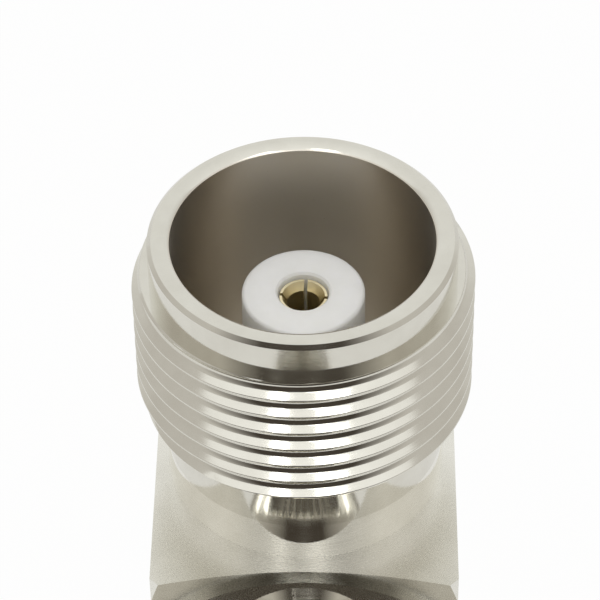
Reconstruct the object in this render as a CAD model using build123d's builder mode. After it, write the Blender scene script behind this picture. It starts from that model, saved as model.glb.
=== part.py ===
from build123d import *
from math import radians, tan
import os

# Right-angle coaxial adapter: a threaded jack on top of a square block and a plug with a
# coupling nut on its front. Millimetres, +Z up. The origin is the centre of the jack's
# front face. The jack's axis is Z, and the plug points along -Y.

# Fits
press_gap = 0.03       # radial gap of pieces pushed or threaded into each other
running_gap = 0.10     # radial gap between the coupling nut and the shell that it turns on
ring_play = 0.15       # gap round the retaining ring in its two grooves

# Jack shell, from its front face down
thread_major = 19.05   # three-quarter inch, twenty threads to the inch
land_step = 0.975      # plain land below the thread's crests
rim_chamfer = 0.22
rim_width = 0.68       # flat of the rim
mouth_chamfer = 0.32
mouth_depth = 0.18
land_length = 2.20
lead_in = 0.495        # cone that starts the thread
lead_in_length = 0.45
thread_length = 8.55   # from the shoulder to the last crest
runout_length = 0.75
neck_length = 3.26     # plain neck between the thread and the block's boss
neck_step = 1.525      # neck below the thread's crests
web_thickness = 1.76   # floor of the jack's bore
spigot_radius = 5.60
spigot_length = 4.25
flange_radius = 4.57   # insulator flange, trapped under the floor
flange_length = 4.00

# Block
boss_height = 2.65
block_width = 17.46    # eleven-sixteenths inch bar
block_back = 8.73      # back face, from the jack's axis
block_front = 10.08    # front corners, from the jack's axis
axis_below_top = 11.80
axis_above_bottom = 8.73
corner_chamfer = 0.50
dish_angle = 21.0      # cone that hollows the front face
dish_edge = 9.08       # front face at the middle of the top edge, from the jack's axis
line_bore_drop = 2.60  # the jack's bore ends this far below the plug's axis

# Coaxial line inside
line_radius = 3.44     # outside of the white insulators
tip_recess = 4.10      # insulator's tip below the jack's front face
tip_round = 0.20
contact_recess = 0.38  # socket's rim below the insulator's tip
contact_radius = 1.34
contact_hole_gap = 0.10
hole_chamfer = 0.12
socket_radius = 0.93
socket_mouth = 1.20
socket_mouth_depth = 0.50
socket_depth = 7.50
slot_width = 0.20
slot_depth = 6.00
slot_turn = -6.0
slot_overcut = 0.60     # how far the slots' cutters pass beyond a wall
collar_radius = 1.75
collar_length = 1.90
collar_pocket = 2.00
tail_radius = 0.80
junction_side = 3.20
junction_length = 4.40
junction_chamfer = 0.30
tail_length = 1.20
bead_gap = 0.10        # keeps the two beads clear of each other at the elbow

# Plug, from the jack's axis forwards
seat_margin = 0.30     # flat in the dish, round the plug's shell
plug_spigot_radius = 6.20
plug_spigot_length = 3.20
shell_wall = 1.30      # round the outer contact's seat
shell_length = 8.50
contact_seat_depth = 3.60
groove_depth = 0.75
groove_width = 1.20
groove_from_front = 4.60
sleeve_gap = 0.11      # between the sleeve and the bore of a mating jack
sleeve_step = 0.62     # sleeve over its foot in the shell
sleeve_length = 13.00
sleeve_wall = 0.72
sleeve_root_length = 1.30
foot_wall = 0.62
sleeve_slots = 8
sleeve_slot_width = 0.40
sleeve_slot_length = 9.50
sleeve_tip_chamfer = 0.25
plug_tip_recess = 0.20
recess_gap = 0.14      # between the recess and the insulator of a mating jack
recess_depth = 7.75
pin_radius = 1.00
pin_stand = 4.95       # pin beyond the floor of the insulator's recess
pin_nose = 0.60
pin_tip_radius = 0.45
pin_collar_length = 1.70

# Coupling nut, ring and gasket
nut_wall = 1.41        # makes the nut seven-eighths inch round
nut_rear_gap = 1.50    # nut's rear face in front of the shell's seat
nut_step = 0.30        # nut's inner step behind the shell's front face
thread_relief = 0.175  # nut's relief outside the thread's crests
relief_length = 3.00
thread_engagement = 0.665
nut_thread_length = 9.30
nut_rear_chamfer = 0.10
nut_front_chamfer = 0.40
nut_collar_length = 2.30
nut_front_band = 1.60
grip_depth = 0.25      # grip band below the plain collars
ring_thickness = 0.90
ring_gap_angle = 40.0
ring_reach = 0.65      # ring beyond the shell
gasket_thickness = 1.20
gasket_edge_gap = 0.50
gasket_bore_gap = 0.04

# Back closure
cap_radius = 4.20
cap_thickness = 1.20
cap_disc_length = 3.40

# Radii that follow from the thread
thread_radius = thread_major / 2
shoulder_radius = thread_radius - lead_in
land_radius = thread_radius - land_step
mouth_radius = land_radius - rim_chamfer - rim_width
jack_bore_radius = mouth_radius - mouth_chamfer
neck_radius = thread_radius - neck_step
sleeve_radius = jack_bore_radius - sleeve_gap
sleeve_bore_radius = sleeve_radius - sleeve_wall
contact_seat_radius = sleeve_radius - sleeve_step
contact_foot_radius = contact_seat_radius - press_gap
base_bore_radius = contact_foot_radius - foot_wall
shell_radius = contact_seat_radius + shell_wall
seat_radius = shell_radius + seat_margin
groove_radius = shell_radius - groove_depth
ring_outer_radius = shell_radius + ring_reach
recess_radius = line_radius + recess_gap
nut_thread_radius = thread_radius - thread_engagement
relief_radius = thread_radius + thread_relief
nut_radius = relief_radius + nut_wall
nut_bore_radius = shell_radius + running_gap
gasket_outer_radius = relief_radius - gasket_edge_gap

# Heights of the jack and block
thread_end_z = -land_length - thread_length
neck_top_z = thread_end_z - runout_length
joint_z = neck_top_z - neck_length
floor_z = joint_z + web_thickness
spigot_z = joint_z - spigot_length
pocket_z = spigot_z + flange_length
block_top_z = joint_z - boss_height
axis_z = block_top_z - axis_below_top
block_bottom_z = axis_z - axis_above_bottom
line_bore_end_z = axis_z - line_bore_drop
tip_z = -tip_recess
contact_z = tip_z - contact_recess
bead_stop = line_radius + bead_gap
junction_top_z = axis_z + junction_side / 2
collar_top_z = spigot_z + collar_pocket
tip_hole_radius = contact_radius + contact_hole_gap
line_bore_radius = line_radius + press_gap
pocket_radius = collar_radius + press_gap

# Stations of the plug, measured forwards from the jack's axis
seat_s = dish_edge - tan(radians(dish_angle)) * (axis_below_top - seat_radius)
plug_spigot_s = seat_s - plug_spigot_length
shell_front_s = seat_s + shell_length
contact_seat_s = shell_front_s - contact_seat_depth
groove_front_s = shell_front_s - groove_from_front + groove_width
groove_back_s = groove_front_s - groove_width
sleeve_tip_s = shell_front_s + sleeve_length
sleeve_step_s = shell_front_s + sleeve_root_length
plug_tip_s = sleeve_tip_s - plug_tip_recess
recess_floor_s = plug_tip_s - recess_depth
pin_tip_s = recess_floor_s + pin_stand
pin_collar_s = contact_seat_s + pin_collar_length
junction_front_s = junction_length / 2
nut_rear_s = seat_s + nut_rear_gap
nut_step_s = shell_front_s - nut_step
nut_thread_s = nut_step_s + relief_length
nut_mouth = relief_radius - nut_thread_radius
nut_front_s = nut_thread_s + nut_thread_length

plug_axis = Axis((0, 0, axis_z), (0, -1, 0))
# Half section of the plug: x is the distance forwards, y the radius
plug_section = Plane(origin=(0, 0, axis_z), x_dir=(0, -1, 0), z_dir=(-1, 0, 0))


def facing_front(distance):
    """Plane across the plug's axis, this far in front of the jack's axis."""
    return Plane(origin=(0, -distance, axis_z), x_dir=(1, 0, 0), z_dir=(0, -1, 0))


# Square block: turned boss on top, dished front, bores that cross at the elbow
with BuildPart() as body_block:
    with BuildSketch(Plane.XY.offset(block_bottom_z)):
        with Locations((0, (block_back - block_front) / 2)):
            Rectangle(block_width, block_back + block_front)
    extrude(amount=block_top_z - block_bottom_z)
    chamfer(body_block.edges().filter_by(Axis.Z), corner_chamfer)
    with BuildSketch(plug_section):
        with BuildLine():
            far_radius = block_width
            far_s = seat_s + tan(radians(dish_angle)) * (far_radius - seat_radius)
            clear_s = max(far_s, block_front) + block_width
            Polyline(
                (seat_s, 0),
                (seat_s, seat_radius),
                (far_s, far_radius),
                (clear_s, far_radius),
                (clear_s, 0),
                close=True,
            )
        make_face()
    revolve(axis=plug_axis, mode=Mode.SUBTRACT)
    with BuildSketch(Plane.XY.offset(block_top_z)):
        Circle(neck_radius)
    extrude(amount=boss_height)
    with BuildSketch(Plane.XY.offset(spigot_z)):
        Circle(spigot_radius + press_gap)
    extrude(amount=joint_z - spigot_z, mode=Mode.SUBTRACT)
    with BuildSketch(Plane.XY.offset(line_bore_end_z)):
        Circle(line_bore_radius)
    extrude(amount=spigot_z - line_bore_end_z, mode=Mode.SUBTRACT)
    with BuildSketch(facing_front(plug_spigot_s)):
        Circle(plug_spigot_radius + press_gap)
    extrude(amount=seat_s - plug_spigot_s, mode=Mode.SUBTRACT)
    with BuildSketch(facing_front(-block_back)):
        Circle(line_bore_radius)
    extrude(amount=block_back + plug_spigot_s, mode=Mode.SUBTRACT)
    with BuildSketch(facing_front(-block_back)):
        Circle(cap_radius + press_gap)
    extrude(amount=cap_thickness, mode=Mode.SUBTRACT)

# Jack shell: rim, land, thread envelope, neck and the spigot that goes into the block
with BuildPart() as jack_shell:
    with BuildSketch(Plane.XZ):
        with BuildLine():
            Polyline(
                (mouth_radius, 0),
                (land_radius - rim_chamfer, 0),
                (land_radius, -rim_chamfer),
                (land_radius, -land_length),
                (shoulder_radius, -land_length),
                (thread_radius, -land_length - lead_in_length),
                (thread_radius, thread_end_z),
                (neck_radius, neck_top_z),
                (neck_radius, joint_z),
                (spigot_radius, joint_z),
                (spigot_radius, spigot_z),
                (flange_radius + press_gap, spigot_z),
                (flange_radius + press_gap, pocket_z),
                (line_bore_radius, pocket_z),
                (line_bore_radius, floor_z),
                (jack_bore_radius, floor_z),
                (jack_bore_radius, -mouth_depth),
                close=True,
            )
        make_face()
    revolve(axis=Axis.Z)

# White insulator that stands in the middle of the jack
with BuildPart() as jack_insulator:
    with BuildSketch(Plane.XZ):
        with BuildLine():
            Polyline(
                (tip_hole_radius, tip_z),
                (line_radius, tip_z),
                (line_radius, pocket_z),
                (flange_radius, pocket_z),
                (flange_radius, spigot_z),
                (pocket_radius, spigot_z),
                (pocket_radius, collar_top_z),
                (tip_hole_radius, collar_top_z),
                close=True,
            )
        make_face()
    revolve(axis=Axis.Z)
    tip_edges = jack_insulator.edges().filter_by(GeomType.CIRCLE).group_by(Axis.Z)[-1]
    fillet(tip_edges.sort_by(SortBy.RADIUS)[-1], tip_round)
    hole_edges = jack_insulator.edges().filter_by(GeomType.CIRCLE).group_by(Axis.Z)[-1]
    chamfer(hole_edges.sort_by(SortBy.RADIUS)[0], hole_chamfer)

# White bead round the jack contact's stem, inside the block
with BuildPart() as jack_rear_bead:
    with BuildSketch(Plane.XY.offset(axis_z + bead_stop)):
        Circle(line_radius)
        Circle(contact_radius + press_gap, mode=Mode.SUBTRACT)
    extrude(amount=spigot_z - axis_z - bead_stop)

# Socket contact: countersunk mouth, four spring fingers, collar and threaded tail
with BuildPart() as jack_contact:
    with BuildSketch(Plane.XZ):
        with BuildLine():
            Polyline(
                (socket_mouth, contact_z),
                (contact_radius, contact_z),
                (contact_radius, collar_top_z),
                (collar_radius, collar_top_z),
                (collar_radius, collar_top_z - collar_length),
                (contact_radius, collar_top_z - collar_length),
                (contact_radius, junction_top_z),
                (tail_radius, junction_top_z),
                (tail_radius, junction_top_z - tail_length),
                (0, junction_top_z - tail_length),
                (0, contact_z - socket_depth - socket_radius),
                (socket_radius, contact_z - socket_depth),
                (socket_radius, contact_z - socket_mouth_depth),
                close=True,
            )
        make_face()
    revolve(axis=Axis.Z)
    with BuildSketch(Plane.XY.offset(contact_z)):
        with PolarLocations(0, 2, start_angle=slot_turn, angular_range=180):
            Rectangle(2 * (contact_radius + slot_overcut), slot_width)
    extrude(amount=-slot_depth, mode=Mode.SUBTRACT)

# Small square elbow that the two inner conductors screw into
with BuildPart() as elbow_junction:
    with BuildSketch(facing_front(-junction_length / 2)):
        Rectangle(junction_side, junction_side)
    extrude(amount=junction_length)
    chamfer(elbow_junction.edges().filter_by(Axis.Y), junction_chamfer)
    with BuildSketch(Plane.XY.offset(junction_top_z)):
        Circle(tail_radius + press_gap)
    extrude(amount=-junction_side / 2, mode=Mode.SUBTRACT)
    with BuildSketch(facing_front(junction_front_s)):
        Circle(tail_radius + press_gap)
    extrude(amount=-tail_length, mode=Mode.SUBTRACT)

# Plug shell: spigot in the block, neck that carries the nut, groove for its ring
with BuildPart() as plug_shell:
    with BuildSketch(plug_section):
        with BuildLine():
            Polyline(
                (plug_spigot_s, line_bore_radius),
                (plug_spigot_s, plug_spigot_radius),
                (seat_s, plug_spigot_radius),
                (seat_s, shell_radius),
                (groove_back_s, shell_radius),
                (groove_back_s, groove_radius),
                (groove_front_s, groove_radius),
                (groove_front_s, shell_radius),
                (shell_front_s, shell_radius),
                (shell_front_s, contact_seat_radius),
                (contact_seat_s, contact_seat_radius),
                (contact_seat_s, line_bore_radius),
                close=True,
            )
        make_face()
    revolve(axis=plug_axis)

# Slotted outer contact of the plug
with BuildPart() as plug_outer_contact:
    with BuildSketch(plug_section):
        with BuildLine():
            Polyline(
                (contact_seat_s, base_bore_radius),
                (contact_seat_s, contact_foot_radius),
                (shell_front_s, contact_foot_radius),
                (shell_front_s, sleeve_radius),
                (sleeve_tip_s - sleeve_tip_chamfer, sleeve_radius),
                (sleeve_tip_s, sleeve_radius - sleeve_tip_chamfer),
                (sleeve_tip_s, sleeve_bore_radius),
                (sleeve_step_s, sleeve_bore_radius),
                (sleeve_step_s, base_bore_radius),
                close=True,
            )
        make_face()
    revolve(axis=plug_axis)
    with BuildSketch(facing_front(sleeve_tip_s)):
        with PolarLocations(sleeve_radius, sleeve_slots):
            Rectangle(2 * (sleeve_wall + slot_overcut), sleeve_slot_width)
    extrude(amount=-sleeve_slot_length, mode=Mode.SUBTRACT)

# White insulator of the plug, with the recess that takes the mating jack's insulator
with BuildPart() as plug_insulator:
    with BuildSketch(plug_section):
        with BuildLine():
            Polyline(
                (contact_seat_s, pocket_radius),
                (contact_seat_s, base_bore_radius - press_gap),
                (sleeve_step_s, base_bore_radius - press_gap),
                (sleeve_step_s, sleeve_bore_radius - press_gap),
                (plug_tip_s, sleeve_bore_radius - press_gap),
                (plug_tip_s, recess_radius),
                (recess_floor_s, recess_radius),
                (recess_floor_s, pin_radius + press_gap),
                (pin_collar_s, pin_radius + press_gap),
                (pin_collar_s, pocket_radius),
                close=True,
            )
        make_face()
    revolve(axis=plug_axis)
    front_edges = plug_insulator.edges().filter_by(GeomType.CIRCLE).group_by(Axis.Y)[0]
    chamfer(front_edges, tip_round)

# White bead behind the plug's insulator
with BuildPart() as plug_rear_bead:
    with BuildSketch(facing_front(bead_stop)):
        Circle(line_radius)
        Circle(contact_radius + press_gap, mode=Mode.SUBTRACT)
    extrude(amount=contact_seat_s - bead_stop)

# Centre pin of the plug, with its collar and threaded tail
with BuildPart() as plug_pin:
    with BuildSketch(plug_section):
        with BuildLine():
            Polyline(
                (junction_front_s - tail_length, 0),
                (junction_front_s - tail_length, tail_radius),
                (junction_front_s, tail_radius),
                (junction_front_s, contact_radius),
                (contact_seat_s, contact_radius),
                (contact_seat_s, collar_radius),
                (pin_collar_s, collar_radius),
                (pin_collar_s, pin_radius),
                (pin_tip_s - pin_nose, pin_radius),
                (pin_tip_s, pin_tip_radius),
                (pin_tip_s, 0),
                close=True,
            )
        make_face()
    revolve(axis=plug_axis)

# Coupling nut: collars at both ends, a grip band between them, thread inside
with BuildPart() as coupling_nut:
    with BuildSketch(plug_section):
        with BuildLine():
            Polyline(
                (nut_rear_s, nut_bore_radius),
                (nut_rear_s, nut_radius - nut_rear_chamfer),
                (nut_rear_s + nut_rear_chamfer, nut_radius),
                (nut_rear_s + nut_collar_length, nut_radius),
                (nut_rear_s + nut_collar_length + grip_depth, nut_radius - grip_depth),
                (nut_front_s - nut_front_band - grip_depth, nut_radius - grip_depth),
                (nut_front_s - nut_front_band, nut_radius),
                (nut_front_s - nut_front_chamfer, nut_radius),
                (nut_front_s, nut_radius - nut_front_chamfer),
                (nut_front_s, relief_radius),
                (nut_front_s - nut_mouth, nut_thread_radius),
                (nut_thread_s + nut_mouth, nut_thread_radius),
                (nut_thread_s, relief_radius),
                (nut_step_s, relief_radius),
                (nut_step_s, nut_bore_radius),
                (groove_front_s, nut_bore_radius),
                (groove_front_s, ring_outer_radius + ring_play),
                (groove_back_s, ring_outer_radius + ring_play),
                (groove_back_s, nut_bore_radius),
                close=True,
            )
        make_face()
    revolve(axis=plug_axis)

# Open retaining ring, half in the shell's groove and half in the nut's
with BuildPart() as retaining_ring:
    with BuildSketch(plug_section):
        with BuildLine():
            Polyline(
                (groove_back_s + ring_play, groove_radius + press_gap),
                (groove_back_s + ring_play, ring_outer_radius),
                (groove_back_s + ring_play + ring_thickness, ring_outer_radius),
                (groove_back_s + ring_play + ring_thickness, groove_radius + press_gap),
                close=True,
            )
        make_face()
    revolve(axis=plug_axis, revolution_arc=360 - ring_gap_angle)

# Rubber gasket round the outer contact, against the shell's front
with BuildPart() as gasket:
    with BuildSketch(facing_front(shell_front_s)):
        Circle(gasket_outer_radius)
        Circle(sleeve_radius + gasket_bore_gap, mode=Mode.SUBTRACT)
    extrude(amount=gasket_thickness)

# White disc behind the elbow
with BuildPart() as cap_insulator:
    with BuildSketch(facing_front(-block_back + cap_thickness)):
        Circle(line_radius)
    extrude(amount=cap_disc_length)

# Plated cap pressed into the back of the block
with BuildPart() as access_cap:
    with BuildSketch(facing_front(-block_back)):
        Circle(cap_radius)
    extrude(amount=cap_thickness)

pieces = {
    "body_block": body_block,
    "jack_shell": jack_shell,
    "jack_insulator": jack_insulator,
    "jack_rear_bead": jack_rear_bead,
    "jack_contact": jack_contact,
    "elbow_junction": elbow_junction,
    "plug_shell": plug_shell,
    "plug_outer_contact": plug_outer_contact,
    "plug_insulator": plug_insulator,
    "plug_rear_bead": plug_rear_bead,
    "plug_pin": plug_pin,
    "coupling_nut": coupling_nut,
    "retaining_ring": retaining_ring,
    "gasket": gasket,
    "cap_insulator": cap_insulator,
    "access_cap": access_cap,
}

os.makedirs("parts", exist_ok=True)
for label, piece in pieces.items():
    piece.part.label = label
    export_step(piece.part, f"parts/{label}.step")
    print(label, round(piece.part.volume, 2))
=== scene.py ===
import math

import bpy
from mathutils import Matrix, Vector


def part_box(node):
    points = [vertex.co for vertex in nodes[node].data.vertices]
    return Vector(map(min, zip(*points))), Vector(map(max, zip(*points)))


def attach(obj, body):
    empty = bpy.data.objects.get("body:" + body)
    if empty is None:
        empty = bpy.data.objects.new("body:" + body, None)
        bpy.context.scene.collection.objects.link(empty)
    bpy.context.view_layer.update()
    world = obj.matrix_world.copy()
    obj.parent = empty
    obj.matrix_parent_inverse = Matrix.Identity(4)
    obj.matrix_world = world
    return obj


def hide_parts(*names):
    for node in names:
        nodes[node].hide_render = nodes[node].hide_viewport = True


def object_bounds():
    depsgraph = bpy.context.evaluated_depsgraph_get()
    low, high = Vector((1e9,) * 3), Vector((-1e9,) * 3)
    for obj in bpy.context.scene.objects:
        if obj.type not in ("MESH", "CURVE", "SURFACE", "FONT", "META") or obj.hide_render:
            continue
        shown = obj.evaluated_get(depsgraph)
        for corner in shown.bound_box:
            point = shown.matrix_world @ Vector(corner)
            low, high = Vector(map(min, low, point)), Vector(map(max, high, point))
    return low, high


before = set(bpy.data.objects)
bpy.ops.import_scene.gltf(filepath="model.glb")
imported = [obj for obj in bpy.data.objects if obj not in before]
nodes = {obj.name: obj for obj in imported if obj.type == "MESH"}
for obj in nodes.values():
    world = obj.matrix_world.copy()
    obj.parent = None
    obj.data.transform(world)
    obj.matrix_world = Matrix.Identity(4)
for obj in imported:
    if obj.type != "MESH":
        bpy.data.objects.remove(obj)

for leftover in ("Cube", "Light", "Camera"):
    if leftover in bpy.data.objects:
        bpy.data.objects.remove(bpy.data.objects[leftover])
cad_box = [list(corner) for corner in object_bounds()]

MM = 0.001
adapter = "adapter"             # bodies of the frame
turning_nut = "nut"

# Sizes of the jack's shell and of its thread, which the solid only has as an envelope
shell_low, shell_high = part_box("jack_shell")
shell_end = shell_low.z
thread_radius = shell_high.x
land_radius = 8.55 * MM
rim_chamfer = 0.22 * MM
mouth_radius = 7.65 * MM
mouth_depth = 0.18 * MM
jack_bore_radius = 7.33 * MM
jack_floor = -13.00 * MM
shoulder_height = -2.20 * MM
shoulder_radius = 9.03 * MM
cone_slope = 1.10
thread_end = -10.75 * MM        # below it the thread runs out in a cone
neck_top = -11.50 * MM
neck_radius = 8.00 * MM
joint_height = -14.76 * MM
block_top = -17.41 * MM
spigot_radius = 5.60 * MM
pocket_radius = 4.60 * MM
pocket_height = -15.01 * MM
line_bore_radius = 3.47 * MM

thread_pitch = 1.27 * MM        # three-quarter inch, twenty threads to the inch
thread_depth = 0.563 * MM
thread_crest = 0.12 * MM
thread_root = 0.50 * MM
crest_height = -3.10 * MM       # a crest's height on the side that faces the viewer
crest_rounding = 0.05 * MM
root_rounding = 0.42 * MM
flank_turn = 60                 # degrees between a flank and the flats
rounding_steps = 5
thread_columns = 200            # steps of one turn
jack_thread_turns = 9           # wound, before the ends are cut off
nut_thread_turns = 10
seam_gap = 0.002 * MM           # merges the wound skin's turns
double_gap = 0.0004 * MM
cut_tolerance = 0.0005 * MM     # the same for a cut and for the choice of its ring

# Coupling nut: distances forwards of the jack's axis
nut_low, nut_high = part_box("coupling_nut")
plug_axis_height = (nut_low.z + nut_high.z) / 2
nut_radius = nut_high.x
nut_rear = -nut_high.y
nut_front = -nut_low.y
nut_bore_radius = 8.00 * MM
nut_rear_edge = 0.10 * MM
nut_front_edge = 0.40 * MM
rear_collar = 2.30 * MM
front_band = 1.60 * MM
grip_depth = 0.25 * MM
relief_radius = 9.70 * MM
nut_thread_radius = 8.86 * MM
nut_thread_root = 9.423 * MM
nut_step = 15.898 * MM
relief_length = 3.00 * MM
ring_groove_radius = 8.70 * MM
ring_groove_back = 11.598 * MM
ring_groove_front = 12.798 * MM
knurl_teeth = 80                # straight teeth along the nut
knurl_columns = 6               # steps of one tooth
knurl_crest = 11.05 * MM
knurl_root = 10.62 * MM         # gives the teeth flanks of 45 degrees
knurl_run_out = 0.35 * MM


# Modelling helpers

def only(piece):
    """The piece alone is selected and active, in object mode."""
    if bpy.context.mode != "OBJECT":
        bpy.ops.object.mode_set(mode="OBJECT")
    bpy.ops.object.select_all(action="DESELECT")
    piece.select_set(True)
    bpy.context.view_layer.objects.active = piece


def edit(piece, select="DESELECT"):
    only(piece)
    bpy.ops.object.mode_set(mode="EDIT")
    bpy.ops.mesh.select_mode(type="VERT")
    bpy.ops.mesh.select_all(action=select)


def select_where(piece, chosen):
    """In edit mode, selects the vertices whose place passes the test, and what lies between them."""
    bpy.ops.mesh.select_all(action="DESELECT")
    bpy.ops.object.mode_set(mode="OBJECT")
    for vertex in piece.data.vertices:
        vertex.select = chosen(vertex.co)
    bpy.ops.object.mode_set(mode="EDIT")
    bpy.ops.mesh.select_mode(type="VERT")


def start_piece(name):
    """Names the primitive just added."""
    piece = bpy.context.active_object
    piece.name = piece.data.name = name
    return piece


def distance_out(place):
    return math.hypot(place.x, place.y)


def move_out(vertex, radius):
    """Moves a vertex straight away from or to the Z axis, to this radius."""
    factor = radius / distance_out(vertex.co)
    vertex.co.x *= factor
    vertex.co.y *= factor


def extrude_ring(piece, radius, height):
    """Extrudes the selected ring and makes the new one a true circle of this radius at this height."""
    bpy.ops.mesh.extrude_region_move()
    bpy.ops.object.mode_set(mode="OBJECT")
    for vertex in piece.data.vertices:
        if vertex.select:
            move_out(vertex, radius)
            vertex.co.z = height
    bpy.ops.object.mode_set(mode="EDIT")


def close_up(piece, sharp_angle=30):
    """Merges doubles, turns the faces outwards and shades smooth up to the sharp angle."""
    edit(piece, "SELECT")
    bpy.ops.mesh.remove_doubles(threshold=double_gap)
    bpy.ops.mesh.normals_make_consistent(inside=False)
    only(piece)
    bpy.ops.object.shade_smooth_by_angle(angle=math.radians(sharp_angle))
    weighted = piece.modifiers.new("flat faces stay flat", "WEIGHTED_NORMAL")
    weighted.keep_sharp = True
    bpy.ops.object.modifier_apply(modifier=weighted.name)


def aim_forwards(piece):
    """Turns a piece that was made along +Z, and puts it on the plug's axis."""
    only(piece)
    piece.rotation_euler = (math.radians(90), 0, 0)
    piece.location = (0, 0, plug_axis_height)
    bpy.ops.object.transform_apply(location=True, rotation=True, scale=True)


def settle(piece, body, slot, *stands_for):
    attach(piece, body)
    if stands_for:
        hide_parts(*stands_for)


def wind_thread(name, crest_radius, root_radius, first_crest, turns):
    """A thread's skin: one tooth's outline, screwed round the Z axis for this many turns."""
    depth = abs(root_radius - crest_radius)
    inwards = math.copysign(1, root_radius - crest_radius)
    half_turn = math.radians(flank_turn) / 2
    crest_flat = thread_crest / 2 - crest_rounding * math.tan(half_turn)
    root_flat = thread_pitch / 2 - thread_root / 2 + root_rounding * math.tan(half_turn)
    steps = [math.radians(flank_turn) * step / rounding_steps for step in range(rounding_steps + 1)]
    tooth = [(0, 0)]
    tooth += [(crest_flat + crest_rounding * math.sin(turn), crest_rounding * (1 - math.cos(turn)))
              for turn in steps]
    tooth += [(root_flat - root_rounding * math.sin(turn), depth - root_rounding * (1 - math.cos(turn)))
              for turn in reversed(steps)]
    tooth += [(thread_pitch / 2, depth)]
    outline = [(drop, crest_radius + inwards * sunk) for drop, sunk in tooth]
    outline += [(thread_pitch - drop, radius) for drop, radius in outline[-2::-1]]
    bpy.ops.mesh.primitive_plane_add(size=thread_pitch)
    piece = start_piece(name)
    edit(piece, "SELECT")
    bpy.ops.mesh.merge(type="CENTER")
    drop, radius = outline[0]
    bpy.ops.transform.translate(value=(0, -radius, first_crest - drop))
    for (old_drop, old_radius), (drop, radius) in zip(outline, outline[1:]):
        step = (0, old_radius - radius, old_drop - drop)
        bpy.ops.mesh.extrude_vertices_move(TRANSFORM_OT_translate={"value": step})
    only(piece)
    screw = piece.modifiers.new("turns", "SCREW")
    screw.axis = "Z"
    screw.angle = math.radians(360)
    screw.screw_offset = thread_pitch
    screw.iterations = turns
    screw.steps = screw.render_steps = thread_columns
    bpy.ops.object.modifier_apply(modifier=screw.name)
    edit(piece, "SELECT")
    bpy.ops.mesh.remove_doubles(threshold=seam_gap)
    only(piece)
    return piece


def cut_flat(piece, height, above):
    """Cuts the skin level at this height and clears what is above or below it."""
    edit(piece, "SELECT")
    bpy.ops.mesh.bisect(
        plane_co=(0, 0, height), plane_no=(0, 0, 1), use_fill=False,
        clear_outer=above, clear_inner=not above, threshold=cut_tolerance,
    )
    only(piece)


def at_height(height):
    return lambda place: abs(place.z - height) < cut_tolerance


def fill_flat_ring(piece, height):
    """In edit mode, closes the flat ring between the two circles at this height."""
    select_where(piece, at_height(height))
    bpy.ops.mesh.fill(use_beauty=True)


# Jack shell with its real thread

def make_jack_shell():
    bottom_crest = crest_height - (jack_thread_turns - 2) * thread_pitch
    shell = wind_thread(
        "threaded_jack_shell", thread_radius, thread_radius - thread_depth, bottom_crest, jack_thread_turns)
    cut_flat(shell, shoulder_height, above=True)
    cut_flat(shell, neck_top, above=False)
    for vertex in shell.data.vertices:
        height = vertex.co.z
        start_cone = shoulder_radius + (shoulder_height - height) * cone_slope
        run_out = neck_radius + (thread_radius - neck_radius) * (height - neck_top) / (thread_end - neck_top)
        limit = min(start_cone, run_out)
        if distance_out(vertex.co) > limit:
            move_out(vertex, limit)

    edit(shell)
    select_where(shell, at_height(shoulder_height))
    for radius, height in [
        (land_radius, shoulder_height),
        (land_radius, -rim_chamfer),
        (land_radius - rim_chamfer, 0),
        (mouth_radius, 0),
        (jack_bore_radius, -mouth_depth),
        (jack_bore_radius, jack_floor),
    ]:
        extrude_ring(shell, radius, height)
    select_where(shell, at_height(neck_top))
    for radius, height in [
        (neck_radius, joint_height),
        (spigot_radius, joint_height),
        (spigot_radius, shell_end),
        (pocket_radius, shell_end),
        (pocket_radius, pocket_height),
        (line_bore_radius, pocket_height),
        (line_bore_radius, jack_floor),
    ]:
        extrude_ring(shell, radius, height)
    fill_flat_ring(shell, jack_floor)
    close_up(shell)
    settle(shell, adapter, "white_bronze", "jack_shell")
    return shell


jack_shell = make_jack_shell()


# Coupling nut with its thread and knurl, made along +Z and then aimed forwards

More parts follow.
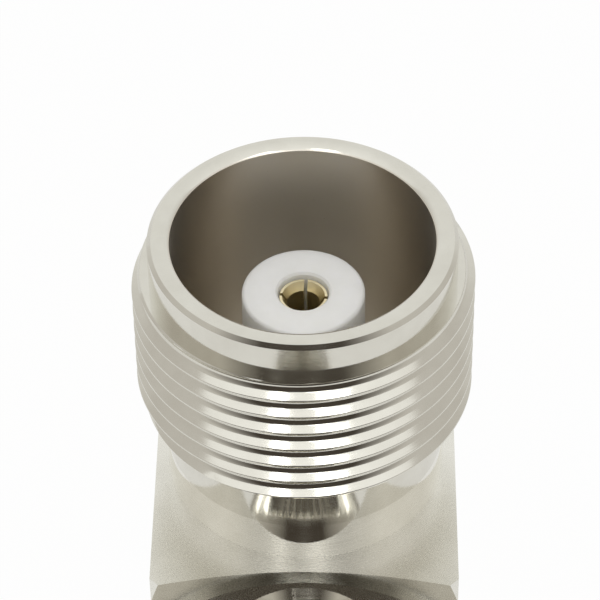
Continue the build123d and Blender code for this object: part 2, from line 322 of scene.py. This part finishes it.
def make_coupling_nut():
    skin_start = nut_step + relief_length
    thread_start = skin_start + thread_pitch    # the skin is whole from here on
    first_crest = skin_start + thread_pitch / 2
    nut = wind_thread(
        "knurled_coupling_nut", nut_thread_radius, nut_thread_root, first_crest, nut_thread_turns)
    cut_flat(nut, nut_front, above=True)
    cut_flat(nut, thread_start, above=False)
    for vertex in nut.data.vertices:
        height = vertex.co.z
        mouth = relief_radius - (nut_front - height)
        back = relief_radius - (height - thread_start)
        limit = max(mouth, back)
        if distance_out(vertex.co) < limit:
            move_out(vertex, limit)

    grip_start = nut_rear + rear_collar + grip_depth
    grip_end = nut_front - front_band - grip_depth
    bpy.ops.mesh.primitive_circle_add(
        vertices=knurl_teeth * knurl_columns, radius=nut_radius - nut_front_edge, location=(0, 0, nut_front))
    outside = start_piece("nut_outside")
    only(outside)
    bpy.ops.object.transform_apply(location=True, rotation=True, scale=True)
    edit(outside, "SELECT")
    for radius, height in [
        (nut_radius, nut_front - nut_front_edge),
        (nut_radius, nut_front - front_band),
        (knurl_root, grip_end),
        (knurl_crest, grip_end - knurl_run_out),
        (knurl_crest, grip_start + knurl_run_out),
        (knurl_root, grip_start),
        (nut_radius, nut_rear + rear_collar),
        (nut_radius, nut_rear + nut_rear_edge),
        (nut_radius - nut_rear_edge, nut_rear),
        (nut_bore_radius, nut_rear),
        (nut_bore_radius, ring_groove_back),
        (ring_groove_radius, ring_groove_back),
        (ring_groove_radius, ring_groove_front),
        (nut_bore_radius, ring_groove_front),
        (nut_bore_radius, nut_step),
    ]:
        extrude_ring(outside, radius, height)
    only(outside)
    for vertex in outside.data.vertices:
        on_crest = abs(distance_out(vertex.co) - knurl_crest) < cut_tolerance
        if on_crest and grip_start < vertex.co.z < grip_end:
            tooth = math.atan2(vertex.co.y, vertex.co.x) / math.tau * knurl_teeth % 1
            move_out(vertex, knurl_root + (knurl_crest - knurl_root) * (1 - abs(2 * tooth - 1)))

    edit(nut)
    select_where(nut, at_height(thread_start))
    extrude_ring(nut, relief_radius, nut_step)
    only(nut)
    outside.select_set(True)
    bpy.ops.object.join()
    edit(nut)
    fill_flat_ring(nut, nut_front)
    fill_flat_ring(nut, nut_step)
    close_up(nut)
    aim_forwards(nut)
    settle(nut, turning_nut, "white_bronze", "coupling_nut")
    return nut


coupling_nut = make_coupling_nut()


# Finishes: each colour has a darker and a lighter shade. Marks, clouds and specks are counts to a millimetre.

bright = ((0.72, 0.70, 0.635), (0.78, 0.765, 0.70))
# painted light: a lighter copy of the shell's plating, so that the whole block looks more brightly lit
block_painted_light = ((0.84, 0.825, 0.765), (0.90, 0.885, 0.83))
gold = ((0.84, 0.73, 0.47), (0.92, 0.83, 0.58))
steel = ((0.34, 0.34, 0.35), (0.44, 0.44, 0.45))
insulator_white = ((0.90, 0.905, 0.88), (0.94, 0.945, 0.925))
red_rubber = ((0.30, 0.075, 0.045), (0.38, 0.11, 0.07))

fine_rings, coarse_rings = 22.0, 4.0
fine_ring_share = 0.6
ring_break = 0.12               # how far a ring differs round its turn
mark_depth = 0.004 * MM
metal_clouds, metal_specks = 0.45, 14.0
speck_dullness = 0.015
bore_dullness = 0.20
bore_streaks = 0.85
# painted shade: the metal inside the bore gets a darker, browner colour
bore_painted_shade = (0.66, 0.615, 0.54)
bore_finish_ends = (0.02, 0.10)     # millimetres outside the bore
quarter_turn = 0.25             # sets the streaks along the axis
satin_dullness = 0.20
satin_ends = (0.03, 0.06)       # millimetres above the satin height

insulator_rings, insulator_clouds = 16.0, 0.8
insulator_mark_depth = 0.006 * MM
insulator_glow = (2.0 * MM, 2.0 * MM, 1.8 * MM)
rubber_grain, rubber_clouds = 9.0, 0.9
rubber_grain_depth = 0.01 * MM

first_colour, second_colour, mixed_colour = 6, 7, 2    # the Mix node's colour sockets


def new_finish(name):
    """An empty material: its nodes, its links and its shader."""
    material = bpy.data.materials.new(name)
    material.use_nodes = True
    tree = material.node_tree
    return material, tree, tree.nodes["Principled BSDF"]


def add_node(tree, kind, inputs=None, **settings):
    """Adds a node, sets it up, and fills its inputs with values or with other nodes' outputs."""
    node = tree.nodes.new(kind)
    for name, value in settings.items():
        setattr(node, name, value)
    for name, value in (inputs or {}).items():
        if isinstance(value, bpy.types.NodeSocket):
            tree.links.new(value, node.inputs[name])
        else:
            node.inputs[name].default_value = value
    return node


def sums(tree, operation, *values):
    """Arithmetic on numbers and on other nodes' outputs."""
    return add_node(tree, "ShaderNodeMath", dict(enumerate(values)), operation=operation).outputs[0]


def place_in_mm(tree, centre_height=0.0):
    """The point on the piece in millimetres, from an axis at this height."""
    coordinates = add_node(tree, "ShaderNodeTexCoord")
    return add_node(
        tree, "ShaderNodeMapping",
        {"Vector": coordinates.outputs["Object"], "Scale": (1000, 1000, 1000),
         "Location": (0, 0, -centre_height * 1000)},
    ).outputs["Vector"]


def ring_place(tree, axis):
    """Where turning marks run, and the plain place.

    The first is distance from the axis, distance along it, and a small share of the angle.
    """
    place = place_in_mm(tree, 0 if axis == "Z" else plug_axis_height)
    split = add_node(tree, "ShaderNodeSeparateXYZ", {"Vector": place})
    x, y, z = (split.outputs[letter] for letter in "XYZ")
    across, along = (y, z) if axis == "Z" else (z, y)
    squares = [sums(tree, "MULTIPLY", side, side) for side in (x, across)]
    out = sums(tree, "SQRT", sums(tree, "ADD", *squares))
    angle = sums(tree, "MULTIPLY", sums(tree, "ARCTAN2", across, x), ring_break)
    rings = add_node(tree, "ShaderNodeCombineXYZ", {"X": out, "Y": along, "Z": angle}).outputs["Vector"]
    return rings, place


def noise(tree, vector, scale, detail=3.0, roughness=0.6):
    return add_node(
        tree, "ShaderNodeTexNoise",
        {"Vector": vector, "Scale": scale, "Detail": detail, "Roughness": roughness},
    ).outputs["Fac"]


def spread(tree, value, low, high, from_low=0.3, from_high=0.7):
    """Maps a noise onto a range."""
    return add_node(
        tree, "ShaderNodeMapRange",
        {"Value": value, "From Min": from_low, "From Max": from_high, "To Min": low, "To Max": high},
    ).outputs["Result"]


def mix_colours(tree, factor, first, second):
    """Mixes two colours, each a plain one or another node's output."""
    node = add_node(tree, "ShaderNodeMix", {"Factor": factor}, data_type="RGBA")
    for place, colour in ((first_colour, first), (second_colour, second)):
        if isinstance(colour, bpy.types.NodeSocket):
            tree.links.new(colour, node.inputs[place])
        else:
            node.inputs[place].default_value = (*colour, 1)
    return node.outputs[mixed_colour]


def turned_metal(name, axis, shades, dullness, marks, bored=None, satin_up_to=None):
    """Metal off the lathe: fine rings round its axis, slight clouds in colour and gloss.

    Inside the bored radius the finish is duller and streaked along the axis, and a darker, browner colour
    paints shade into the bore. Up to the satin height it is duller.
    """
    material, tree, shader = new_finish(name)
    rings, place = ring_place(tree, axis)
    fine = noise(tree, rings, fine_rings, 4.0)
    coarse = noise(tree, rings, coarse_rings, 2.0)
    clouds = noise(tree, place, metal_clouds, 4.0)
    specks = noise(tree, place, metal_specks, 2.0)
    colour = mix_colours(tree, spread(tree, clouds, 0, 1), *shades)
    gloss = sums(tree, "ADD", spread(tree, fine, *dullness), spread(tree, specks, 0, speck_dullness))
    if bored:
        out = add_node(tree, "ShaderNodeSeparateXYZ", {"Vector": rings}).outputs["X"]
        inside = spread(tree, out, 1, 0, *(bored / MM + edge for edge in bore_finish_ends))
        gloss = sums(tree, "ADD", gloss, sums(tree, "MULTIPLY", inside, bore_dullness))
        tree.links.new(sums(tree, "MULTIPLY", inside, bore_streaks), shader.inputs["Anisotropic"])
        shader.inputs["Anisotropic Rotation"].default_value = quarter_turn
        # paints shade into the bore with a darker, browner colour inside the bored radius
        colour = mix_colours(tree, inside, colour, bore_painted_shade)
    if satin_up_to:
        height = add_node(tree, "ShaderNodeSeparateXYZ", {"Vector": place}).outputs["Z"]
        ends = [satin_up_to / MM + edge for edge in satin_ends]
        gloss = sums(tree, "ADD", gloss, spread(tree, height, satin_dullness, 0, *ends))
    tree.links.new(colour, shader.inputs["Base Color"])
    tree.links.new(gloss, shader.inputs["Roughness"])
    heights = sums(tree, "ADD", sums(tree, "MULTIPLY", fine, fine_ring_share), coarse)
    bump = add_node(tree, "ShaderNodeBump", {"Height": heights, "Strength": marks, "Distance": mark_depth})
    tree.links.new(bump.outputs["Normal"], shader.inputs["Normal"])
    shader.inputs["Metallic"].default_value = 1.0
    return material


def white_insulator(name, axis):
    """Waxy white fluoropolymer with faint rings from the lathe."""
    material, tree, shader = new_finish(name)
    rings, place = ring_place(tree, axis)
    fine = noise(tree, rings, insulator_rings, 3.0)
    clouds = noise(tree, place, insulator_clouds, 3.0)
    colour = mix_colours(tree, spread(tree, clouds, 0, 1), *insulator_white)
    tree.links.new(colour, shader.inputs["Base Color"])
    tree.links.new(spread(tree, fine, 0.38, 0.52), shader.inputs["Roughness"])
    bump = add_node(tree, "ShaderNodeBump", {"Height": fine, "Strength": 0.5, "Distance": insulator_mark_depth})
    tree.links.new(bump.outputs["Normal"], shader.inputs["Normal"])
    shader.inputs["Subsurface Weight"].default_value = 0.6
    shader.inputs["Subsurface Radius"].default_value = insulator_glow
    shader.inputs["Subsurface Scale"].default_value = 1.0
    return material


def soft_rubber(name):
    """Red-brown rubber with a dusty, slightly uneven skin."""
    material, tree, shader = new_finish(name)
    place = place_in_mm(tree)
    skin = noise(tree, place, rubber_grain, 5.0)
    clouds = noise(tree, place, rubber_clouds, 3.0)
    colour = mix_colours(tree, spread(tree, clouds, 0, 1), *red_rubber)
    tree.links.new(colour, shader.inputs["Base Color"])
    tree.links.new(spread(tree, skin, 0.5, 0.75), shader.inputs["Roughness"])
    bump = add_node(tree, "ShaderNodeBump", {"Height": skin, "Strength": 0.6, "Distance": rubber_grain_depth})
    tree.links.new(bump.outputs["Normal"], shader.inputs["Normal"])
    return material


jack_plating = turned_metal("plated shell", "Z", bright, dullness=(0.07, 0.12), marks=0.25, bored=jack_bore_radius)
plug_plating = turned_metal("plated plug", "Y", bright, dullness=(0.03, 0.07), marks=0.12)
# the block wears the lighter copy of the plating, which paints light on it
block_plating = turned_metal(
    "plated block", "Z", block_painted_light, dullness=(0.04, 0.08), marks=0.15, satin_up_to=block_top)
jack_gold = turned_metal("gold socket", "Z", gold, dullness=(0.28, 0.38), marks=0.8)
plug_gold = turned_metal("gold pin", "Y", gold, dullness=(0.12, 0.20), marks=0.5)
ring_steel = turned_metal("spring steel", "Y", steel, dullness=(0.25, 0.35), marks=0.6)
jack_white = white_insulator("white jack insulator", "Z")
plug_white = white_insulator("white plug insulator", "Y")
gasket_rubber = soft_rubber("gasket rubber")

finishes = {
    "body_block": block_plating,
    "jack_insulator": jack_white,
    "jack_rear_bead": jack_white,
    "jack_contact": jack_gold,
    "elbow_junction": jack_gold,
    "plug_shell": plug_plating,
    "plug_outer_contact": plug_plating,
    "plug_insulator": plug_white,
    "plug_rear_bead": plug_white,
    "plug_pin": plug_gold,
    "retaining_ring": ring_steel,
    "gasket": gasket_rubber,
    "cap_insulator": plug_white,
    "access_cap": plug_plating,
}


def wear(piece, material):
    piece.data.materials.clear()
    piece.data.materials.append(material)


for node_name, material in finishes.items():
    wear(nodes[node_name], material)
wear(jack_shell, jack_plating)
wear(coupling_nut, plug_plating)


# Studio

floor_width = 4.0
floor_front = -0.09
floor_back = 2.0
floor_drop = 0.2 * MM           # under the nut
floor_colour = (0.84, 0.84, 0.83)
floor_seen = 0.96               # share of plain white that the camera sees
floor_mirrored = 0.40
room_turns_lighter = (math.radians(30), math.radians(65))
cloth_begins = (math.radians(115), math.radians(150))
opening_top = math.sin(math.radians(50.7))
opening_edge = 0.006
roof_begins = (0.2, 1.3)
lens_hole = math.radians(7)
lens_edge = 0.02
tent_back = (0.86, 0.86, 0.84)
tent_roof = (1.08, 1.08, 1.06)
room_dark = (0.065, 0.055, 0.046)
room_side = (0.62, 0.60, 0.565)
roof_height = 0.40
strip_length = 0.36
strip_y = -0.15
strip_turn = math.radians(-12)


def make_floor():
    """Pale table just under the nut. It ends a little in front of the object."""
    bpy.ops.mesh.primitive_plane_add(size=1.0)
    floor = start_piece("studio_floor")
    floor.scale = (floor_width, floor_back - floor_front, 1)
    floor.location = (0, (floor_back + floor_front) / 2, cad_box[0][2] - floor_drop)
    only(floor)
    bpy.ops.object.transform_apply(location=True, rotation=True, scale=True)
    material, tree, shader = new_finish("pale floor")
    shader.inputs["Base Color"].default_value = (*floor_colour, 1)
    shader.inputs["Roughness"].default_value = 0.9
    glow = add_node(tree, "ShaderNodeEmission", {"Color": (1, 1, 1, 1), "Strength": 1.0})
    path = add_node(tree, "ShaderNodeLightPath")
    seen = sums(tree, "MAXIMUM", path.outputs["Is Camera Ray"], path.outputs["Is Transmission Ray"])
    share = sums(
        tree, "MAXIMUM", sums(tree, "MULTIPLY", seen, floor_seen),
        sums(tree, "MULTIPLY", path.outputs["Is Glossy Ray"], floor_mirrored),
    )
    mix = add_node(tree, "ShaderNodeMixShader", {"Fac": share})
    tree.links.new(shader.outputs["BSDF"], mix.inputs[1])
    tree.links.new(glow.outputs["Emission"], mix.inputs[2])
    tree.links.new(mix.outputs["Shader"], tree.nodes["Material Output"].inputs["Surface"])
    wear(floor, material)


def make_tent():
    """White tent. Its front opens on a darker room, with a round hole above for the lens."""
    world = bpy.data.worlds.new("white tent")
    world.use_nodes = True
    bpy.context.scene.world = world
    tree = world.node_tree
    direction = add_node(tree, "ShaderNodeTexCoord").outputs["Generated"]
    split = add_node(tree, "ShaderNodeSeparateXYZ", {"Vector": direction})
    x, y, z = (split.outputs[letter] for letter in "XYZ")
    forwards = sums(tree, "MULTIPLY", y, -1.0)
    aside = sums(tree, "ABSOLUTE", sums(tree, "ARCTAN2", x, forwards))
    straight_ahead = spread(tree, aside, 1, 0, *room_turns_lighter)
    in_front = spread(tree, aside, 1, 0, *cloth_begins)
    under_roof = spread(tree, z, 1, 0, opening_top - opening_edge, opening_top + opening_edge)
    opening = sums(tree, "MULTIPLY", in_front, under_roof)
    to_lens = add_node(
        tree, "ShaderNodeVectorMath", {0: direction, 1: camera_place.normalized()}, operation="DOT_PRODUCT",
    ).outputs["Value"]
    lens = spread(tree, to_lens, 0, 1, math.cos(lens_hole + lens_edge), math.cos(lens_hole - lens_edge))
    roof = spread(tree, sums(tree, "ADD", z, forwards), 0, 1, *roof_begins)
    cloth = mix_colours(tree, roof, tent_back, tent_roof)
    room = mix_colours(tree, straight_ahead, room_side, room_dark)
    open_cloth = mix_colours(tree, opening, cloth, room)
    colour = mix_colours(tree, lens, open_cloth, room_dark)
    path = add_node(tree, "ShaderNodeLightPath")
    seen = sums(tree, "MAXIMUM", path.outputs["Is Camera Ray"], path.outputs["Is Transmission Ray"])
    shown = mix_colours(tree, seen, colour, (1, 1, 1))
    tree.links.new(shown, tree.nodes["Background"].inputs["Color"])
    tree.nodes["Background"].inputs["Strength"].default_value = 1.0


def hang_strip(name, x, width, radiance):
    """A strip lamp under the tent's roof that faces straight down."""
    lamp = bpy.data.lights.new(name, "AREA")
    lamp.shape = "RECTANGLE"
    lamp.size, lamp.size_y = width, strip_length
    lamp.energy = radiance * math.pi * width * strip_length
    piece = bpy.data.objects.new(name, lamp)
    piece.location = (x, strip_y, roof_height)
    piece.rotation_euler = (0, 0, strip_turn)
    bpy.context.scene.collection.objects.link(piece)


# Camera, as fitted to the photograph

camera_place = Vector((2.6233, -121.7486, 113.6125)) * MM
camera_azimuth = math.radians(-1.3260)
camera_elevation = math.radians(44.1950)
camera_roll = math.radians(-0.9185)
photo_pixels = 600
focal_pixels = 3045.105
sensor_mm = 36.0


def make_camera():
    look = Vector((
        math.sin(camera_azimuth) * math.cos(camera_elevation),
        math.cos(camera_azimuth) * math.cos(camera_elevation),
        -math.sin(camera_elevation),
    ))
    level = Vector((math.cos(camera_azimuth), -math.sin(camera_azimuth), 0))
    upright = level.cross(look)
    right = math.cos(camera_roll) * level + math.sin(camera_roll) * upright
    up = -math.sin(camera_roll) * level + math.cos(camera_roll) * upright
    data = bpy.data.cameras.new("photo camera")
    data.sensor_width = sensor_mm
    data.lens = focal_pixels / photo_pixels * sensor_mm
    data.clip_start, data.clip_end = 0.001, 10
    camera = bpy.data.objects.new("photo_camera", data)
    turn = Matrix((right, up, -look)).transposed()
    camera.matrix_world = Matrix.Translation(camera_place) @ turn.to_4x4()
    bpy.context.scene.collection.objects.link(camera)
    bpy.context.scene.camera = camera


make_floor()
make_tent()
hang_strip("left_strip", x=-0.085, width=0.048, radiance=2.6)
hang_strip("right_strip", x=0.072, width=0.080, radiance=2.2)
make_camera()
bpy.context.scene.view_settings.view_transform = "Standard"
